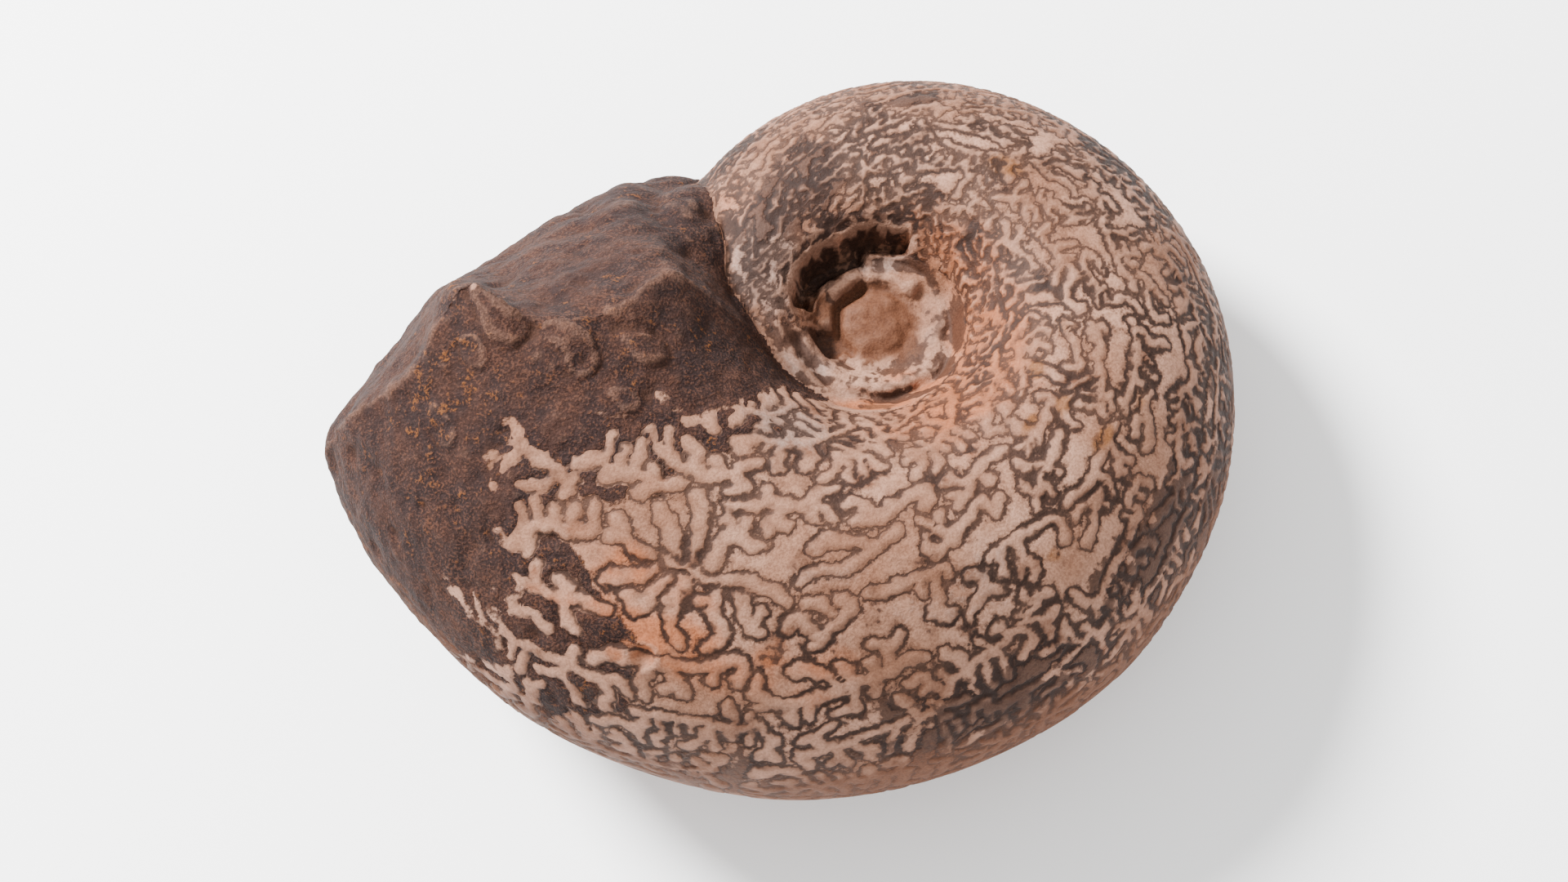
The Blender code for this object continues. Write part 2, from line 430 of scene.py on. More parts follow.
def roughShare(points):
    begin, full, fade, end = wear["roughSector"]
    direction = np.degrees(np.arctan2(-points[:, 1], points[:, 0])) % 360
    share = smoothStep(direction, begin, full) * (1 - smoothStep(direction, fade, end))
    return share * smoothStep(np.hypot(points[:, 0], points[:, 1]), *wear["roughFrom"])


# The sutures. Limits are where each one's leaves end, in degrees of growth. Ribs are the middle lines of its
# leaves: foot and tip, growth in degrees behind the limit and degrees round the tube. Plain bands run from
# one place to another, each as the share of the way back to the suture before and degrees round the tube,
# and have half widths of both. Lengths that follow the whorl's size are shares of it, the rest is in mm.
sutures = {
    "limits": (-14, -38, -57, -79, -101, -125, -150, -177, -203, -229, -254, -278, -302, -326, -350, -374),
    "seed": 11,
    "spacing": 0.0250,
    "hiddenScale": 1.45,
    "finerAbove": (118, 0.85),  # degrees round the tube above which the spacing shrinks, and to what share
    "spacingWave": (0.24, 0.23, 0.11),  # how much the spacing varies, and its waves along and round the tube
    "tries": 22000,
    "longest": 1.9,  # branch, in spacings
    "detour": 0.55,  # how much a long way from the middle line counts against a branch
    "heading": (0.15, 0.08),  # how much branches favour the way forward and the way to the keel
    "highest": 146,
    "endOfLines": 150,
    "start": -7,
    "stray": 1.6,  # degrees that the ends of a middle line wander
    "bow": 2,
    "jitter": 0.5,
    "joinReach": 0.4,  # in spacings
    "wobble": (1.2, 0.31, 0.2),  # how far the plain bands' edges wander, and the waves of that
    "ribs": (
        (-24, 126, -6, 116), (-25, 103, -16, 98), (-17, 92, -5, 84), (-29, 79, -15, 76), (-14, 72, -8, 63),
        (-20, 56, -6, 46), (-26, 38, -10, 31), (-20, 15, -7, 7),
    ),
    "largeLeaf": (
        (-67, 76, -57, 86), (-67, 76, -56, 76), (-66, 79, -63.5, 90), (-69, 79, -70, 88), (-62, 74, -57, 64),
        (-64, 72, -63, 61), (-67, 73, -67.6, 60), (-71, 74, -74, 62), (-75, 74, -79, 65), (-67, 76, -80, 77),
    ),
    "largeLeafReach": (-82, -54, 58, 92),
    "plainSpots": (
        (-64, 52, 8, 7), (-53, 66, 4, 7), (-88, 50, 6, 6), (-112, 66, 3, 7), (-97, 70, 5, 4),
        (-101, 82, 20, 3), (-142, 54, 15, 4), (-131, 76, 4, 4), (-122, 132, 6, 6), (-160, 86, 10, 2.5),
        (-172, 60, 4, 9), (-185, 96, 4, 6), (-215, 75, 6, 5), (-248, 110, 6, 6), (-270, 95, 6, 5),
        (-292, 118, 6, 5), (-335, 90, 6, 10),
    ),
    "plain": (
        (0.98, 84, 0.50, 81, 0.15, 4.4), (0.66, 64, 0.10, 59, 0.14, 4.0), (0.98, 109, 0.60, 106, 0.12, 3.2),
        (0.02, 122, 0.06, 58, 0.11, 3.4), (0.98, 41, 0.62, 38, 0.11, 3.2), (0.0, 32, 0.06, 8, 0.10, 3.2),
    ),
    "branchMost": 0.72,  # how far in spacings a line stays off a branch that has no neighbour
    "gap": 0.10,  # half the way across a re-entrant, in mm
    "round": 0.5,
    "bend": 0.5,  # how far a branch bends off its line, in degrees
    "warps": ((0.7, 0.0040), (0.50, 0.0013)),  # mm, and the spacing of each warp in metres
    "groove": (0.20, 0.28),  # depth and half width in mm
    "puff": (0.10, 0.8),  # height of a leaf above its surroundings and how far in it is reached, in mm
    "far": 9.0,  # mm, more than any distance that matters
    "tipVaries": (0.85, 1.15),
    "searched": (4.0, 6),  # degrees beyond a branch along and round the tube that it is measured to
}


def outAt(around):
    return 1 - coil["halfHeight"] + coil["halfHeight"] * np.cos(np.radians(around))


def gapsTo(points, growth, around):
    along = np.radians(points[:, 0] - growth) * outAt((points[:, 1] + around) / 2)
    across = np.radians(points[:, 1] - around) * coil["halfWidth"]
    return np.hypot(along, across)


def sideSpacing(side):
    return sutures["spacing"] * (1 if side > 0 else sutures["hiddenScale"])


def ribPoints(random, side):
    # Points along the middle lines, each with the number of the point it grows from.
    lines = []
    spacing = sideSpacing(side)
    stray, jitter = sutures["stray"], sutures["jitter"]
    growthLow, growthHigh, aroundLow, aroundHigh = sutures["largeLeafReach"]
    for limit in sutures["limits"][:-1]:
        for growth0, around0, growth1, around1 in sutures["ribs"]:
            start = np.array([limit + growth0, around0]) + random.uniform(-stray, stray, 2)
            end = np.array([limit + growth1, around1]) + random.uniform(-stray, stray, 2)
            middle = (start + end) / 2
            taken = growthLow < middle[0] < growthHigh and aroundLow < middle[1] < aroundHigh
            if side < 0 or not taken:
                lines.append((start, end))
    if side > 0:
        for growth0, around0, growth1, around1 in sutures["largeLeaf"]:
            lines.append((np.array([growth0, around0]), np.array([growth1, around1])))
    points = []
    parents = []
    for start, end in lines:
        count = max(2, round(gapsTo(start[None], *end)[0] / spacing))
        bow = random.uniform(-sutures["bow"], sutures["bow"])
        close = sutures["joinReach"] * spacing
        joint = [k for k, point in enumerate(points) if gapsTo(point[None], *start)[0] < close]
        for k in range(count + 1):
            if k == 0 and joint:
                continue
            share = k / count
            place = start + (end - start) * share + np.array([0, bow * math.sin(math.pi * share)])
            points.append(place + random.uniform(-jitter, jitter, 2))
            if k == 1 and joint:
                parents.append(joint[0])
            else:
                parents.append(len(points) - 2 if k else -1)
    return points, parents


def plainBand(growth, around):
    limits = np.array(sutures["limits"], float)
    index = np.clip(np.searchsorted(-limits, -growth, side="left") - 1, 0, len(limits) - 2)
    sway, waveAlong, waveRound = sutures["wobble"]
    wobble = sway * math.sin(growth * waveAlong + around * waveRound)
    for growth0, around0, growthReach, aroundReach in sutures["plainSpots"]:
        here = ((growth + wobble - growth0) / growthReach, (around + wobble - around0) / aroundReach)
        if math.hypot(*here) < 1:
            return True
    share = (limits[index] - growth + wobble) / (limits[index] - limits[index + 1])
    for share0, around0, share1, around1, halfShare, halfAround in sutures["plain"]:
        along = ((share1 - share0) / halfShare, (around1 - around0) / halfAround)
        here = ((share - share0) / halfShare, (around + wobble - around0) / halfAround)
        way = (here[0] * along[0] + here[1] * along[1]) / (along[0] ** 2 + along[1] ** 2)
        way = min(1.0, max(0.0, way))
        if math.hypot(here[0] - way * along[0], here[1] - way * along[1]) < 1:
            return True
    return False


def scatteredPoints(random, side):
    # The rest of one flank's points, none nearer to another than the spacing.
    points, parents = ribPoints(random, side)
    store = np.zeros((len(points) + sutures["tries"], 2))
    count = len(points)
    store[:count] = points
    growths = random.uniform(sutures["limits"][-1] + 2, sutures["start"], sutures["tries"])
    arounds = random.uniform(0, sutures["highest"], sutures["tries"])
    finerAbove, finer = sutures["finerAbove"]
    varies, waveAlong, waveRound = sutures["spacingWave"]
    for growth, around in zip(growths, arounds):
        spacing = sideSpacing(side) * (1.0 if around < finerAbove else finer)
        spacing *= 1.0 + varies * math.sin(growth * waveAlong) * math.sin(around * waveRound + 1)
        if plainBand(growth, around) or gapsTo(store[:count], growth, around).min() < spacing:
            continue
        store[count] = growth, around
        count += 1
    return store[:count], parents


def sutureTrees(random, side):
    # Grows branches from the middle lines.
    points, parents = scatteredPoints(random, side)
    count = len(points)
    parent = np.full(count, -1)
    parent[:len(parents)] = parents
    joined = np.arange(count) < len(parents)
    path = np.where(joined, 0, np.inf)
    out = outAt(points[:, 1])
    growth = np.radians(points[:, 0])
    height = np.radians(points[:, 1]) * coil["halfWidth"]
    along = (growth[None, :] - growth[:, None]) * (out[None, :] + out[:, None]) / 2
    across = height[None, :] - height[:, None]
    gap = np.hypot(along, across) + 1e-9
    forward, keelward = sutures["heading"]
    cost = gap - forward * along + keelward * across
    cost[gap > sutures["longest"] * sideSpacing(side)] = np.inf
    offer = np.where(joined[:, None] & ~joined[None, :], cost, np.inf)
    bestFrom = offer.argmin(axis=0)
    bestCost = offer.min(axis=0)
    while np.isfinite(bestCost.min()):
        k = bestCost.argmin()
        parent[k] = bestFrom[k]
        path[k] = path[bestFrom[k]] + cost[bestFrom[k], k]
        joined[k] = True
        bestCost[k] = np.inf
        reached = cost[k] + sutures["detour"] * path[k]
        better = (reached < bestCost) & ~joined
        bestFrom[better] = k
        bestCost[better] = reached[better]
    return points, parent


def softLeast(a, b, width):
    gap = np.maximum(width - np.abs(a - b), 0) / width
    return np.minimum(a, b) - gap * gap * width / 4


def sutureField(growth, around):
    # Distance in mm to the nearest suture line, negative inside a leaf. A line runs half way between two
    # branches that don't meet, and round a branch with no neighbour.
    first = np.full(growth.shape, sutures["far"])
    second = np.full(growth.shape, sutures["far"])
    reach = np.full(growth.shape, 1.0)
    nearest = np.full(growth.shape, -1)
    order = np.argsort(growth)
    sortedGrowth = growth[order]
    starts, ends, startNodes, endNodes, mosts, above = [], [], [], [], [], []
    for side in (1, -1):
        random = np.random.default_rng(sutures["seed"] + side)
        points, parent = sutureTrees(random, side)
        base = len(above)
        above += [base + len(points) + k if above0 >= 0 else -1 for k, above0 in enumerate(parent)]
        above += [base + above0 if above0 >= 0 else -1 for above0 in parent]
        for k in np.where(parent >= 0)[0]:
            middle = (points[parent[k]] + points[k]) / 2 + random.uniform(-1, 1, 2) * sutures["bend"]
            varied = random.uniform(*sutures["tipVaries"])
            starts += [(*points[parent[k]], side), (*middle, side)]
            ends += [middle, points[k]]
            startNodes += [base + parent[k], base + len(points) + k]
            endNodes += [base + len(points) + k, base + k]
            most = sutures["branchMost"] * sideSpacing(side)
            mosts += [most, most * varied]
    startNodes = np.array(startNodes)
    endNodes = np.array(endNodes)
    above = np.array(above)
    searchedAlong, searchedRound = sutures["searched"]
    for again in (False, True):
        for number, (start, end, most) in enumerate(zip(starts, ends, mosts)):
            growth0, around0, side = start
            growth1, around1 = end
            between = (growth0 + growth1) / 2
            height = (around0 + around1) / 2
            out = outAt(height)
            wide = abs(growth1 - growth0) / 2 + searchedAlong / out
            low, high = np.searchsorted(sortedGrowth, (between - wide, between + wide))
            near = order[low:high]
            near = near[np.abs(side * around[near] - height) < abs(around1 - around0) / 2 + searchedRound]
            if not len(near):
                continue
            size = 1000 * coil["keelRadius"] * math.exp(growthRate * math.radians(between))
            x = np.radians(growth[near] - growth0) * out
            y = np.radians(side * around[near] - around0) * coil["halfWidth"]
            dx = math.radians(growth1 - growth0) * out
            dy = math.radians(around1 - around0) * coil["halfWidth"]
            way = np.clip((x * dx + y * dy) / (dx * dx + dy * dy + 1e-12), 0, 1)
            away = np.hypot(x - way * dx, y - way * dy) * size
            if again:
                apart = np.ones(len(near), bool)
                for one in (startNodes[number], endNodes[number]):
                    for other in (startNodes[nearest[near]], endNodes[nearest[near]]):
                        apart &= (one != other) & (above[one] != other) & (above[other] != one)
                        apart &= (above[one] != above[other]) | (above[one] < 0)
                        apart &= (above[above[one]] != other) & (above[above[other]] != one)
                second[near] = np.where(apart, np.minimum(second[near], away), second[near])
            else:
                closer = away < first[near]
                first[near] = np.where(closer, away, first[near])
                reach[near] = np.where(closer, most * size, reach[near])
                nearest[near] = np.where(closer, number, nearest[near])
    edge = np.where(around > 0, 1, 2 * sutures["hiddenScale"]) * sutures["gap"] - (second - first) / 2
    return -softLeast(-edge, reach - first, sutures["round"])


# Finishes by place, the rust along the keel partly painted shade: soft spots as growth, around, their two
# spreads in degrees, and strength.
spots = {
    "darkAndShade": (
        (-145, 42, 17, 11, 1.0), (-112, 32, 16, 18, 0.85), (-92, 124, 16, 8, 0.55), (-306, 92, 17, 24, 0.95),
        (-312, 40, 12, 24, 0.55), (-165, 22, 26, 16, 0.75), (-78, 12, 20, 12, 0.5), (-225, 40, 14, 12, 0.6),
        (-240, 132, 40, 9, 0.5), (-190, 112, 8, 6, 0.6), (-270, 60, 14, 12, 0.5), (-205, -60, 25, 22, 0.8),
        (-122, -95, 20, 18, 0.7), (-300, -80, 25, 30, 0.6), (-80, -30, 22, 18, 0.6), (-160, -25, 24, 14, 0.7),
    ),
    "ochre": (
        (-157, 111, 5, 4, 0.9), (-150, 80, 6, 4, 0.8), (-162, 72, 5, 4, 0.6), (-235, 90, 6, 7, 1.0),
        (-151, 97, 5, 4, 0.8), (-149, 80, 6, 3, 0.8), (-141, 103, 6, 3, 0.7), (-128, 68, 5, 5, 0.4),
        (-24, 70, 8, 22, 0.5), (-26, 112, 10, 10, 0.5), (-118, 76, 4, 3, 0.4), (-175, 105, 5, 4, 0.5),
        (-210, -100, 14, 10, 0.7), (-100, -70, 12, 8, 0.6), (-60, -110, 10, 12, 0.6),
    ),
    "peach": (
        (-150, 134, 50, 22, 1.4), (-220, 136, 40, 18, 1.1), (-66, 56, 12, 9, 0.9), (-290, 20, 40, 30, 0.6),
        (-120, 118, 14, 10, 0.6), (-60, 70, 12, 8, 0.7), (-75, 52, 14, 9, 0.6), (-90, 57, 10, 5, 0.6),
        (-330, 60, 30, 40, 0.5), (-150, -135, 90, 16, 0.8),
    ),
    "grey": (
        (-345, 110, 18, 40, 0.9), (-68, 126, 14, 12, 0.9), (-110, 72, 14, 10, 0.5), (-130, 110, 10, 8, 0.4),
        (-90, 82, 10, 4, 0.5), (-180, -110, 30, 12, 0.5),
    ),
    "rustAndShade": (
        # Along the keel on the underside this rusty brown is partly painted shade.
        (-120, 4, 60, 20, 1.1), (-60, 0, 40, 18, 0.8), (-200, 14, 40, 16, 0.7), (-310, 58, 10, 22, 0.5),
        (-200, -20, 60, 20, 0.6),
    ),
}

# The same in the umbilicus, some dark spots there being painted shade: x and y in the coil's plane and both
# spreads in mm, and strength.
planeSpots = {
    "darkAndShade": (
        # Dark mottling, and painted shade in the groove left of and above the middle disc, in the hollow at
        # the upper left and on the wall at the top.
        (-4.6, 5.6, 2.4, 2.0, 1.2), (-6.4, 0.0, 1.3, 5.5, 1.2), (-8.5, -3.4, 2.8, 2.2, 1.3),
        (-9.0, 10.0, 3.4, 3.6, 1.2), (-2.0, 14.0, 7.0, 1.8, 1.2), (-15, 14, 6, 4, 0.8),
        (10.4, -8.0, 1.6, 3.4, 0.7), (-11, 3, 2.6, 2.6, 0.6), (5.0, -13.0, 5.0, 1.0, 0.8),
        (12.6, -2.0, 1.1, 6.0, 0.6), (3.6, -6.4, 1.8, 0.8, 0.6), (5, 9, 3, 1.6, 0.5),
        (-9.5, -10.5, 3.0, 1.2, 0.7), (14, 11, 4, 3, 0.5), (0, 0, 17, 16, 0.30), (-14, -2, 3, 5, 0.5),
        (-33, 22, 7, 13, 1.0),
    ),
    "grey": (
        (-15.5, 6.0, 5.0, 9.0, 1.3), (-10.5, -7.5, 4.0, 4.5, 1.2), (-8.0, 6.5, 2.5, 2.0, 1.0),
        (0, 9.5, 7, 1.8, 1.1), (8, -2, 2.6, 5, 0.5),
    ),
    "peach": (
        (0.2, -14.8, 6.0, 1.6, 1.4), (8.0, -12.0, 3.0, 2.5, 1.2), (14, -4, 3, 7, 1.3), (14, 6, 3, 6, 1.0),
        (7, 4, 3, 3, 0.6), (4, -9, 4, 2, 0.6),
    ),
    "rustAndShade": (
        (0.0, 0.0, 5.9, 5.6, 2.2), (-9.5, 2.0, 3.4, 2.8, 1.3), (0.6, -15.0, 2.4, 0.8, 1.3),
        (6.6, 4.6, 2.2, 2.0, 0.5),
    ),
    "ochre": ((6, 6, 3, 2, 0.5), (-12, -12, 2, 2, 0.5)),
}

# The stone that covers the flank beside the break: the growth angle of its edge, by degrees round the tube.
coverEdge = (
    (-180, -52), (-60, -50), (-30, -50), (0, -54), (20, -62), (40, -64), (56, -58), (66, -47), (76, -45),
    (88, -52), (105, -57), (122, -64), (180, -66),
)

# Where it leaves leaves bare, as spots, and plates of it that stand up, with their height in mm at the end.
bareSpots = (
    (-43, 92, 7, 9, 0.55), (-40, 108, 5, 5, 0.5), (-44, 58, 7, 9, 0.5), (-45, 34, 7, 8, 0.6),
    (-44, 120, 4, 4, 0.5), (-33, 44, 5, 5, 0.35), (-14, 74, 2.6, 2.6, 0.75), (-12, 81, 1.6, 1.8, 0.75),
    (-38, 14, 6, 6, 0.35), (-33, 76, 4, 4, 0.3), (-50, 40, 5, 6, 0.4),
)
plates = (
    (-17, 84, 5, 5, 0.9), (-25, 98, 6, 5, 0.8), (-21, 76, 3, 3, 0.5), (-31, 112, 5, 5, 0.6),
    (-28, 62, 5, 4, 0.4), (-38, 100, 4, 4, 0.5), (-27, -60, 8, 12, 0.8), (-22, -20, 5, 8, 0.6),
)

# How the surface is sorted by place: ranges over which something begins and is full, in metres or degrees.
skin = {
    "snap": (0.0006, 0.0012),  # how far off its turn a point is still put onto it
    "nextTurn": (0.0004, 0.0012),  # how much farther off the next turn has to be for that
    "onTurn": (0.0007, 0.0012),
    "looseRadius": (0.020, 0.023),  # from where stone off the turns is the cover
    "hiddenLooseRadius": (0.0165, 0.0185),  # the same below
    "hiddenCoverRadius": (0.0168, 0.0188),
    "hiddenRagged": (0.0022, 0.0010),  # how far the two noises move these radii
    "hiddenUneven": (14, 6),  # and the cover's edge
    "wallBehind": -340,  # the wall beside the break, above the whorl before, is covered too
    "wallHeight": (0.0135, 0.0150),
    "coverSince": -90,
    "coverRun": (-14, 20),  # before and behind the cover's edge
    "fringe": (0.02, 0.3, 0.75, 1),  # where the cover thins out, and leaves stick out of it
    "fringeLift": (0.42, 0.4),  # how much the leaves are bared there, and over how many mm
    "bareInside": (0.2, -0.5),  # mm from a leaf's edge
    "linesEnd": (0.60, 0.90),
}


def spotShare(growth, around, entries):
    total = np.zeros(growth.shape)
    for growth0, around0, growthSpread, aroundSpread, strength in entries:
        far = ((growth - growth0) / growthSpread) ** 2 + ((around - around0) / aroundSpread) ** 2
        total = np.maximum(total, strength * np.exp(-far))
    return total


# The stone's colours and finishes, with the painted shade in hollows and painted highlight on crests.
stone = {
    "tan": (0.185, 0.084, 0.049),
    "tanPale": (0.290, 0.155, 0.104),
    "tanDeep": (0.080, 0.034, 0.019),
    "peach": (0.260, 0.078, 0.027),
    "ochre": (0.140, 0.048, 0.008),
    "grey": (0.190, 0.125, 0.100),
    "rustAndShade": (0.090, 0.033, 0.015),
    # Also the colour of the painted shade in hollows and in the umbilicus.
    "darkAndShade": (0.030, 0.0125, 0.0075),
    "cover": (0.029, 0.0125, 0.0088),
    "coverPurple": (0.0165, 0.0082, 0.0072),
    "coverRust": (0.105, 0.036, 0.009),
    "coverBrown": (0.064, 0.026, 0.015),
    "line": (0.014, 0.0062, 0.0042),
    "speckleDark": (0.52, 0.46, 0.43),
    "speckleLight": (1.12, 1.12, 1.12),
    # Noises: spacing in metres, detail and roughness.
    "noises": {
        "broad": (0.016, 3, 0.55), "patchy": (0.0055, 4, 0.55), "grainy": (0.0016, 4, 0.6),
        "frill": (0.0010, 1, 0.5), "fine": (0.00040, 2, 0.6),
    },
    # How each finish shows, the painted shade in hollows and painted highlight on crests too: the noises that
    # fray it with their weights, then the level where it begins, the level where it is full, and the most of
    # it.
    "shares": {
        "pale": ({"broad": 1}, -0.15, 0.15, 1),
        "deep": ({"patchy": 1}, 0, 0.28, 1),
        "peach": ({"patchy": 1.2, "broad": 1.2}, 0.15, 0.95, 0.85),
        "grey": ({"grainy": 1.2, "broad": 1.2}, 0.25, 0.85, 0.80),
        "ochre": ({"patchy": 1.2}, 0.34, 0.68, 0.80),
        "outside": ({}, -0.3, 0.5, 1),
        "darkAndShade": ({"grainy": 1.1, "patchy": 1.6, "outside": 0.45}, 0.46, 0.60, 0.88),
        "bold": ({"broad": 1, "patchy": 0.6}, -0.14, 0.14, 1),
        "purple": ({"patchy": 1}, -0.12, 0.12, 1),
        "brown": ({"fine": 0.7, "grainy": 0.3, "broad": 0.3}, 0, 0.12, 0.55),
        "flecks": ({"grainy": 0.6, "patchy": 0.4}, 0.08, 0.18, 1),
        "fleckGrain": ({"fine": 1}, -0.1, 0.1, 0.80),
        "cover": ({"grainy": 0.7, "patchy": 0.8}, 0.44, 0.58, 1),
        # painted shade in hollows
        "paintedHollowShade": ({"grainy": 0.06}, 0.05, 0.24, 1),
        # painted highlight on crests
        "paintedCrestHighlight": ({"grainy": 0.06}, -0.05, -0.22, 1),
        "rustAndShade": ({"patchy": 0.8, "grainy": 0.8}, 0.3, 0.8, 1),
        "speckle": ({"fine": 0.75, "frill": 0.25}, -0.14, 0.12, 1),
    },
    "darkByMark": 1.45,
    "purpleByDark": 0.3,
    "flecksByOchre": 0.12,
    "lineFray": {"frill": 1.0, "fine": 0.6},  # in mm
    "lineWidth": (0.13, 0.50),  # mm from the middle of a line: fully dark, and clear of it
    "halo": (0.25, 1.1, 0.45),  # the same of the deeper tan beside a line, and the most of it
    "lineMost": 0.92,
    # Pairs: a value, and how much more of it where something else is full.
    "lineWider": (0.60, 0.72),
    "lineStronger": (0.78, 0.22),
    # Painted shade in hollows and painted highlight on crests: their most, and less of each on lines and
    # cover.
    "paintedHollowShadeMost": (0.8, -0.55),
    "paintedCrestHighlightMost": (0.45, -0.33),
    "rustAndShadeMost": (0.85, -0.5),
    "speckleMost": (0.55, 0.15),
    "roughness": (0.70, 0.20),
    "roughnessFray": {"grainy": 0.2},
    "specular": 0.14,
    "bumps": {"fine": (0.5, 0.9), "frill": (0.3, 0.6), "grainy": (0.4, 1.6)},
    "lineDepth": 0.6,
    "bumpStrength": 0.5,
    "bumpDistance": 0.0003,
}


def mixColour(tree, share, first, second, blend="MIX"):
    def four(value):
        return value if isinstance(value, Term) else (*value, 1)
    return addNode(tree, "ShaderNodeMix", {"data_type": "RGBA", "blend_type": blend, "clamp_factor": True}, {
        0: share, 6: four(first), 7: four(second)}, 2)


def stoneNoise(tree, place, spacing, detail, roughness):
    return addNode(tree, "ShaderNodeTexNoise", {}, {
        "Vector": place, "Scale": 1 / spacing, "Detail": detail, "Roughness": roughness}, 0)


def ramp(tree, value, low, high):
    return addNode(tree, "ShaderNodeMapRange", {"interpolation_type": "SMOOTHSTEP", "clamp": True}, {
        "Value": value, "From Min": low, "From Max": high}, 0)


def more(pair, share):
    return share * pair[1] + pair[0]


def stoneMaterial():
    material = bpy.data.materials.new("fossilStone")
    material.use_nodes = True
    tree = material.node_tree
    tree.nodes.clear()
    shader = tree.nodes.new("ShaderNodeBsdfPrincipled")
    shader.inputs["Specular IOR Level"].default_value = stone["specular"]
    surface = tree.nodes.new("ShaderNodeOutputMaterial")
    tree.links.new(shader.outputs[0], surface.inputs["Surface"])
    place = addNode(tree, "ShaderNodeTexCoord", {}, {}, 3)
    noises = {name: stoneNoise(tree, place, *values) for name, values in stone["noises"].items()}

    def mark(name):
        return addNode(tree, "ShaderNodeAttribute", {"attribute_name": name}, {}, 2)

    def frayed(level, weights):
        for name, weight in weights.items():
            level = level + (noises[name] - 0.5) * weight
        return level

    def share(name, level=0):
        weights, begins, full, most = stone["shares"][name]
        return ramp(tree, frayed(level, weights), begins, full) * most

    colour = mixColour(tree, share("pale"), stone["tan"], stone["tanPale"])
    colour = mixColour(tree, share("deep"), colour, stone["tanDeep"])
    for name in ("peach", "grey", "ochre"):
        colour = mixColour(tree, share(name, mark(name)), colour, stone[name])

    lined = mark("lined")
    distance = frayed(mark("suture"), stone["lineFray"])
    begins, full, most = stone["halo"]
    halo = (1 - ramp(tree, abs(distance), begins, full)) * lined
    colour = mixColour(tree, halo * most, colour, stone["tanDeep"])
    noises["outside"] = share("outside", distance)
    # Dark mottling; in the umbilicus partly painted shade in its groove, hollow and upper wall.
    darkAndShade = share("darkAndShade", mark("darkAndShade") * stone["darkByMark"])
    colour = mixColour(tree, darkAndShade, colour, stone["darkAndShade"])
    bold = share("bold")
    line = 1 - ramp(tree, abs(distance) / more(stone["lineWider"], bold), *stone["lineWidth"])
    line = line * lined * more(stone["lineStronger"], bold)
    colour = mixColour(tree, line * stone["lineMost"], colour, stone["line"])

    purple = share("purple", mark("darkAndShade") * stone["purpleByDark"])
    cover = mixColour(tree, purple, stone["cover"], stone["coverPurple"])
    cover = mixColour(tree, share("brown"), cover, stone["coverBrown"])
    flecks = share("flecks", mark("ochre") * stone["flecksByOchre"]) * share("fleckGrain")
    cover = mixColour(tree, flecks, cover, stone["coverRust"])
    covered = share("cover", mark("cover"))
    colour = mixColour(tree, covered, colour, cover)

    # Painted shade: the dark colour laid where a point lies below its neighbours, less of it on the suture
    # lines.
    paintedHollowShade = share("paintedHollowShade", mark("hollow")) * more(stone["paintedHollowShadeMost"], lined)
    colour = mixColour(tree, paintedHollowShade, colour, stone["darkAndShade"])
    # Painted highlight: the pale tan laid where a point stands above its neighbours, less of it on the cover.
    paintedCrestHighlight = share("paintedCrestHighlight", mark("hollow")) * more(stone["paintedCrestHighlightMost"], covered)
    colour = mixColour(tree, paintedCrestHighlight, colour, stone["tanPale"])
    # Rusty brown, partly painted shade along the keel on the underside; less of it on the suture lines.
    rustAndShade = share("rustAndShade", mark("rustAndShade")) * more(stone["rustAndShadeMost"], line)
    colour = mixColour(tree, rustAndShade, colour, stone["rustAndShade"])
    tint = mixColour(tree, share("speckle"), stone["speckleDark"], stone["speckleLight"])
    colour = mixColour(tree, more(stone["speckleMost"], covered), colour, tint, "MULTIPLY")
    tree.links.new(colour.socket, shader.inputs["Base Color"])

    roughness = frayed(more(stone["roughness"], covered), stone["roughnessFray"])
    tree.links.new(roughness.socket, shader.inputs["Roughness"])
    height = -line * stone["lineDepth"]
    for name, pair in stone["bumps"].items():
        height = height + noises[name] * more(pair, covered)
    bump = addNode(tree, "ShaderNodeBump", {}, {
        "Strength": stone["bumpStrength"], "Distance": stone["bumpDistance"], "Height": height}, 0)
    tree.links.new(bump.socket, shader.inputs["Normal"])


def storeValue(mesh, name, values):
    attribute = mesh.attributes.new(name, "FLOAT", "POINT")
    attribute.data.foreach_set("value", values.astype(np.float32))


# Its result drives the painted shade in hollows and the painted highlight on crests.
def hollowness(mesh):
    # How far each point lies below its neighbours, in mm, over about two millimetres.
    points = arrayOf(mesh.vertices, "co")
    normals = arrayOf(mesh.vertex_normals, "vector")
    ends = np.empty(len(mesh.edges) * 2, np.int32)
    mesh.edges.foreach_get("vertices", ends)
    one, other = ends.reshape(-1, 2).T
    count = np.bincount(one, minlength=len(points)) + np.bincount(other, minlength=len(points))
    average = points.copy()
    for again in range(wear["hollowPasses"]):
        total = np.zeros_like(average)
        for axis in range(3):
            total[:, axis] = np.bincount(one, average[other, axis], len(points))
            total[:, axis] += np.bincount(other, average[one, axis], len(points))
        average = total / count[:, None]
    return ((average - points) * normals).sum(axis=1) / mm


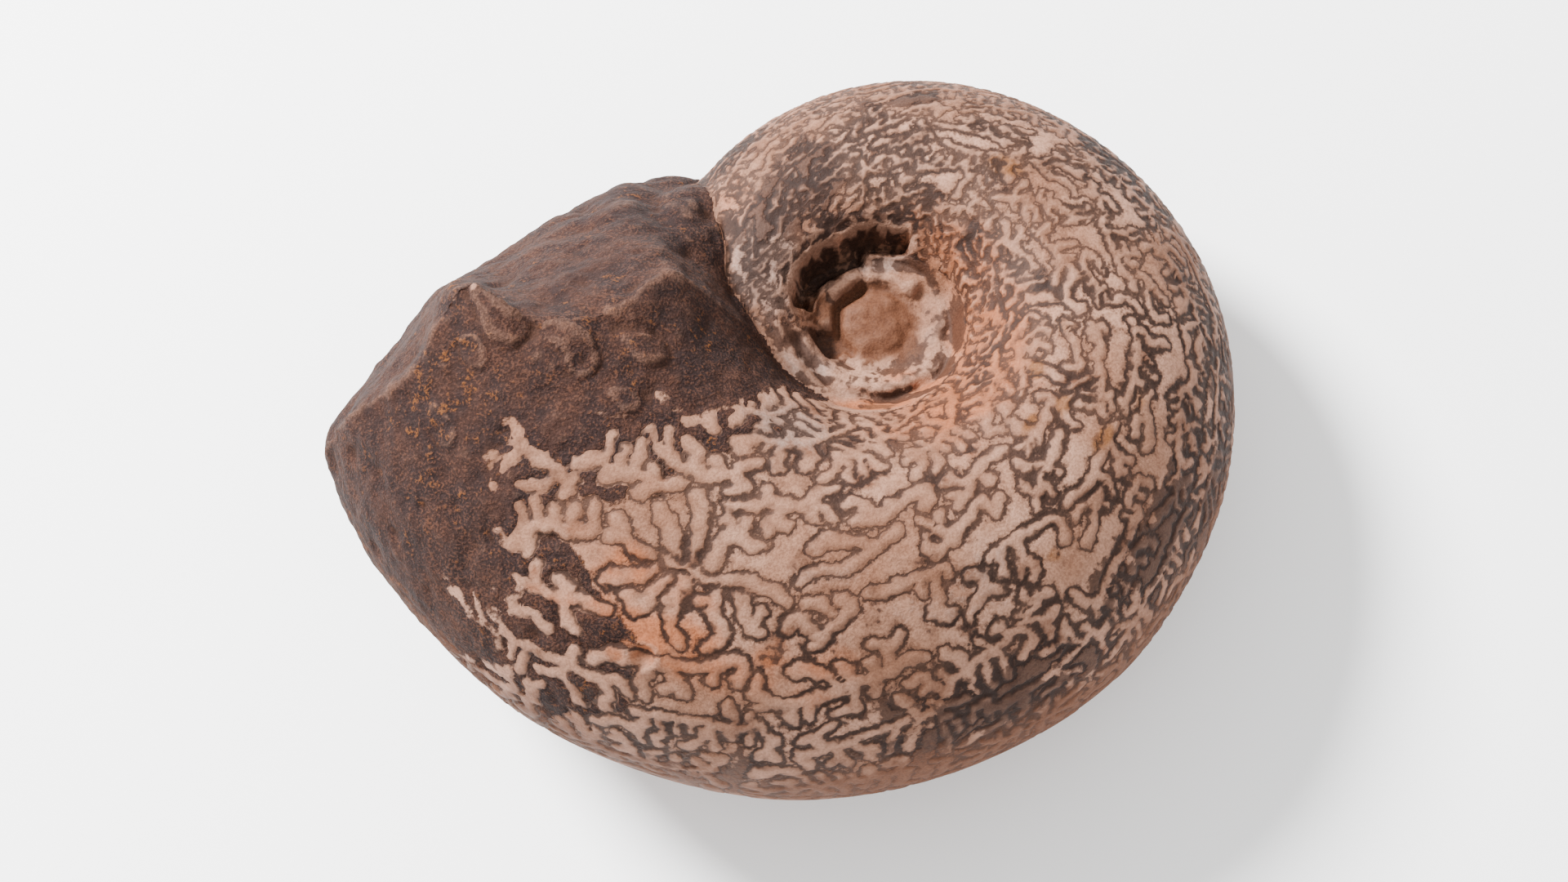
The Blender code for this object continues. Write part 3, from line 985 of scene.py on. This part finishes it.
def coverAndLines(points, growth, around, onTurn, suture, broken, gritty):
    # How much of each point the stone over the break covers, and how far its sutures show.
    hidden = points[:, 2] < 0
    radius = np.hypot(points[:, 0], points[:, 1])
    rim = radius + skin["hiddenRagged"][0] * broken + skin["hiddenRagged"][1] * gritty
    loose = smoothStep(radius, *skin["looseRadius"])
    loose = np.where(hidden, smoothStep(rim, *skin["hiddenLooseRadius"]), loose)
    wall = (growth < skin["wallBehind"]) * smoothStep(points[:, 2], *skin["wallHeight"])
    loose = np.maximum(loose, wall) * (1 - onTurn)
    edge = np.interp(around, *zip(*coverEdge))
    uneven = np.where(hidden, skin["hiddenUneven"][0] * broken + skin["hiddenUneven"][1] * gritty, 0)
    before, behind = skin["coverRun"]
    cover = smoothStep(growth + uneven, edge + before, edge + behind) * (growth > skin["coverSince"])
    cover *= np.where(hidden, smoothStep(rim, *skin["hiddenCoverRadius"]), 1)
    begins, full, thins, ends = skin["fringe"]
    fringe = smoothStep(cover, begins, full) * (1 - smoothStep(cover, thins, ends))
    lift, width = skin["fringeLift"]
    bare = spotShare(growth, around, bareSpots) * smoothStep(suture, *skin["bareInside"])
    cover = np.maximum(cover + lift * np.tanh(suture / width) * fringe, loose) - bare
    return cover, (1 - smoothStep(cover, *skin["linesEnd"])) * (1 - loose)


def surfaceRelief(points, growth, around, suture, cover, lined, broken, gritty):
    # Height above the plain coil, in metres.
    relief = wear["swellHeight"] * noiseAt(points, wear["swellSpacing"])
    relief += roughShare(points) * wear["roughHeight"] * noiseAt(points, wear["roughSpacing"])
    depth, width = sutures["groove"]
    height, inside = sutures["puff"]
    groove = -depth * np.exp(-(suture / width) ** 2)
    relief += mm * (groove + height * smoothStep(-suture, 0, inside)) * lined
    begins, ends, ragged = wear["plateEdge"]
    for growth0, around0, growthSpread, aroundSpread, height in plates:
        far = np.hypot((growth - growth0) / growthSpread, (around - around0) / aroundSpread) + ragged * broken
        relief += mm * height * (1 - smoothStep(far, begins, ends))
    growth0, around0, pitRadius = wear["pit"]
    toPit = gapsTo(np.stack((growth, around), axis=1), growth0, around0) / pitRadius
    rimHeight, rimPlace, rimWidth = wear["pitRim"]
    pit = -wear["pitDepth"] * np.exp(-toPit ** 2)
    relief += mm * (pit + rimHeight * np.exp(-((toPit - rimPlace) / rimWidth) ** 2))
    below, pitting = wear["pitted"]
    pitted = pitting * np.maximum(-below - broken, 0)
    return relief + mm * cover * (wear["brokenHeight"] * broken + wear["grittyHeight"] * gritty - pitted)


def layDown(mesh):
    # Turns the stone to how it lies, centred on the origin, with its small worn flat on the floor.
    turn = restTurn()
    mesh.transform(turn)
    laid = arrayOf(mesh.vertices, "co")
    low = laid.min(axis=0)
    high = laid.max(axis=0)
    base = Vector(((low[0] + high[0]) / 2, (low[1] + high[1]) / 2, low[2] + coil["flatDepth"]))
    laid -= np.array(base)
    laid[:, 2] = np.maximum(laid[:, 2], 0)
    setVertices(mesh, laid)
    return Matrix.Translation(-base) @ turn


def ammonitePiece():
    mesh = bakedCoil()
    print("coil fused", len(mesh.polygons), "faces")
    refine(mesh, cameraInCoil()[2])
    print("refined to", sum(len(face.vertices) - 2 for face in mesh.polygons), "triangles")
    points = arrayOf(mesh.vertices, "co")
    growth, around, away, nextAway, surface = tubePlace(points)
    snap = (1 - smoothStep(np.abs(away), *skin["snap"])) * smoothStep(nextAway - away, *skin["nextTurn"])
    points += (surface - points) * snap[:, None]
    setVertices(mesh, points)
    normals = arrayOf(mesh.vertex_normals, "vector")
    broken = noiseAt(points, wear["brokenSpacing"])
    gritty = noiseAt(points, wear["grittySpacing"], 0.1)
    onTurn = 1 - smoothStep(np.abs(away), *skin["onTurn"])
    warp = sum(size * noiseVectorsAt(points, spacing) for size, spacing in sutures["warps"])
    perMillimetre = np.degrees(mm / (coil["keelRadius"] * np.exp(growthRate * np.radians(growth))))
    warpedGrowth = growth + perMillimetre * warp[:, 0] / outAt(around)
    suture = sutureField(warpedGrowth, around + perMillimetre * warp[:, 1] / coil["halfWidth"])
    suture[(onTurn < 0.5) | (np.abs(around) > sutures["endOfLines"])] = sutures["far"]
    print("sutures drawn")
    cover, lined = coverAndLines(points, growth, around, onTurn, suture, broken, gritty)
    moved = points.copy()
    inUmbilicus = (points[:, 2] > 0) & (np.hypot(points[:, 0], points[:, 1]) < umbilicus["radius"])
    moved[inUmbilicus, 2] = stepped(points[inUmbilicus])
    relief = surfaceRelief(points, growth, around, suture, cover, lined, broken, gritty)
    moved += normals * relief[:, None]
    setVertices(mesh, moved)
    toRest = layDown(mesh)
    marks = {"suture": suture, "lined": lined, "cover": cover, "hollow": hollowness(mesh)}
    for name, entries in spots.items():
        inPlane = spotShare(points[:, 0] / mm, points[:, 1] / mm, planeSpots[name]) * (points[:, 2] > 0)
        marks[name] = np.maximum(spotShare(growth, around, entries) * onTurn, inPlane)
    for name, values in marks.items():
        storeValue(mesh, name, values)
    mesh.name = "ammoniteStone"
    mesh.shade_smooth()
    mesh.materials.clear()
    mesh.materials.append(bpy.data.materials["fossilStone"])
    piece = newObject("ammoniteStone", mesh)
    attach(piece, "root")
    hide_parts("ammonite")
    print("stone laid down")
    return toRest


def placeCamera(fromCoil):
    right, up, back, place = cameraInCoil()
    lensData = bpy.data.cameras.new("camera")
    lensData.lens = camera["lens"]
    lensData.clip_start, lensData.clip_end = camera["clip"]
    holder = newObject("camera", lensData)
    turned = Matrix((right, up, back)).transposed().to_4x4()
    holder.matrix_world = fromCoil @ Matrix.Translation(place) @ turned
    bpy.context.scene.camera = holder


studioLook = {
    "world": 1.45,
    "keyLight": ((-0.50, 0.42, 0.70), 0.30, 48),  # place, size and watts
    "fillLight": ((0.5, -0.5, 0.6), 0.8, 2),
    "floorReach": 3,
    "floorColour": (0.97, 0.97, 0.97, 1),
    "floorRoughness": 0.9,
}


def areaLight(name):
    place, size, power = studioLook[name]
    data = bpy.data.lights.new(name, "AREA")
    data.shape = "DISK"
    data.size = size
    data.energy = power
    holder = newObject(name, data)
    holder.location = place
    holder.rotation_euler = (-Vector(place)).to_track_quat("-Z", "Y").to_euler()


def studio():
    world = bpy.data.worlds.new("studio")
    bpy.context.scene.world = world
    world.use_nodes = True
    world.node_tree.nodes["Background"].inputs["Color"].default_value = (1, 1, 1, 1)
    world.node_tree.nodes["Background"].inputs["Strength"].default_value = studioLook["world"]
    areaLight("keyLight")
    areaLight("fillLight")
    bm = bmesh.new()
    bmesh.ops.create_grid(bm, x_segments=1, y_segments=1, size=studioLook["floorReach"])
    mesh = bpy.data.meshes.new("floor")
    bm.to_mesh(mesh)
    bm.free()
    floor = newObject("floor", mesh)
    material = bpy.data.materials.new("floorPale")
    material.use_nodes = True
    shader = material.node_tree.nodes["Principled BSDF"]
    shader.inputs["Base Color"].default_value = studioLook["floorColour"]
    shader.inputs["Roughness"].default_value = studioLook["floorRoughness"]
    mesh.materials.append(material)
    print("studio set up")


stoneMaterial()
fromCoil = ammonitePiece()
placeCamera(fromCoil)
studio()
